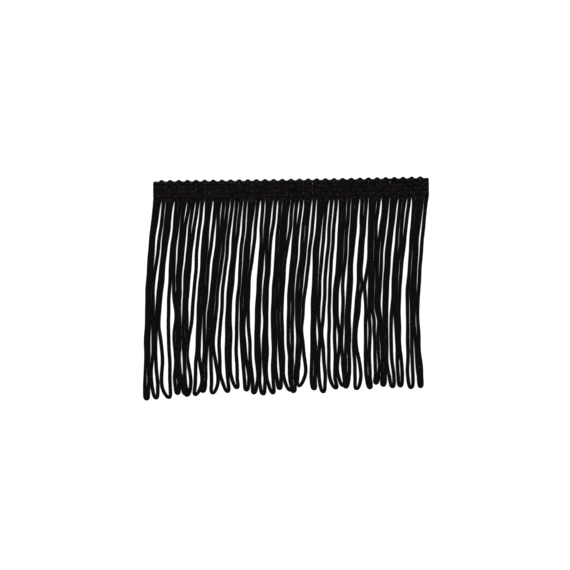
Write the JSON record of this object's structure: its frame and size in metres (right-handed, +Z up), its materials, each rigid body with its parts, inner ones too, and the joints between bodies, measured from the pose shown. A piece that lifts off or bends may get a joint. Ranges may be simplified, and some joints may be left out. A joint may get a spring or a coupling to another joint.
{
  "type": "looped fringe",
  "caption": "Cut length of black looped fringe: a narrow bound heading with a scalloped top edge, from which long soft cord loops hang, to sew or glue along an edge.",
  "frame": {"origin": "the middle of the heading's back, on the surface that the fringe lies on", "axes": "+X along the heading, -Y the way the loops lie, +Z up from the back to the face"},
  "size_m": [0.1338, 0.102, 0.0024],
  "materials": {
    "heading_yarn": "black knitted yarn, close bound rows, faint sheen",
    "loop_cord": "black soft knitted cord, faint sheen"
  },
  "bodies": {
    "root": {"heading": "heading_yarn", "loop_fringe": "loop_cord"}
  },
  "joints": []
}
